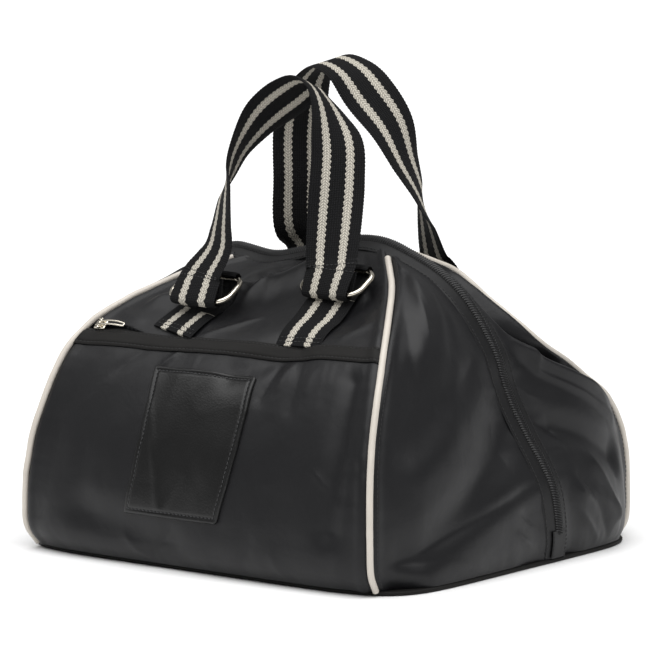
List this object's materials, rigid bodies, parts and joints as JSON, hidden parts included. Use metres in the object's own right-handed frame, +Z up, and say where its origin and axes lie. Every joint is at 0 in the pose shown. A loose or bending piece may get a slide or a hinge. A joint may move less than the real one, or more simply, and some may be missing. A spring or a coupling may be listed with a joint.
{
  "type": "riding helmet bag",
  "caption": "Soft domed nylon bag for a riding helmet, with an over-the-top zip, off-white piping, a zipped front pocket with a leather patch, and striped webbing handles on metal rings.",
  "frame": {"origin": "middle of the base board's underside, on the floor", "axes": "+X along the bag's length, to the right seen from the front; the front pocket faces -Y; +Z up"},
  "size_m": [0.3581, 0.3216, 0.3377],
  "materials": {
    "nylon": "satin black coated nylon",
    "binding": "matt black binding",
    "piping": "off-white satin",
    "webbing": "woven, black with two off-white stripes",
    "leather": "black grained leather",
    "coil": "black nylon coil",
    "steel": "bright nickel plate"
  },
  "bodies": {
    "bag": {"base_board": "binding", "front_panel": "nylon", "back_panel": "nylon", "gore_front_left": "nylon", "gore_front_right": "nylon", "gore_back_left": "nylon", "gore_back_right": "nylon", "piping_front_left": "piping", "piping_front_right": "piping", "piping_back_left": "piping", "piping_back_right": "piping", "zip_coil": "coil", "zip_placket_front": "nylon", "zip_placket_back": "nylon", "zip_end_tab_left": "nylon", "zip_end_tab_right": "nylon", "zip_slider": "steel", "pocket_panel": "nylon", "pocket_band": "binding", "pocket_zip": "coil", "pocket_zip_slider": "steel", "leather_patch": "leather", "tab_front_left": "webbing", "tab_front_right": "webbing", "tab_back_left": "webbing", "tab_back_right": "webbing", "ring_front_left": "steel", "ring_front_right": "steel", "ring_back_left": "steel", "ring_back_right": "steel", "handle_front": "webbing", "handle_back": "webbing"},
    "pull": {"pocket_zip_pull": "steel"}
  },
  "joints": [
    {"name": "pocket_pull_swing", "type": "hinge", "parent": "bag", "child": "pull", "pos_m": [-0.11515, -0.11212, 0.15725], "axis": [0.0315, -0.755, -0.6549], "range_deg": [0, 150]}
  ]
}
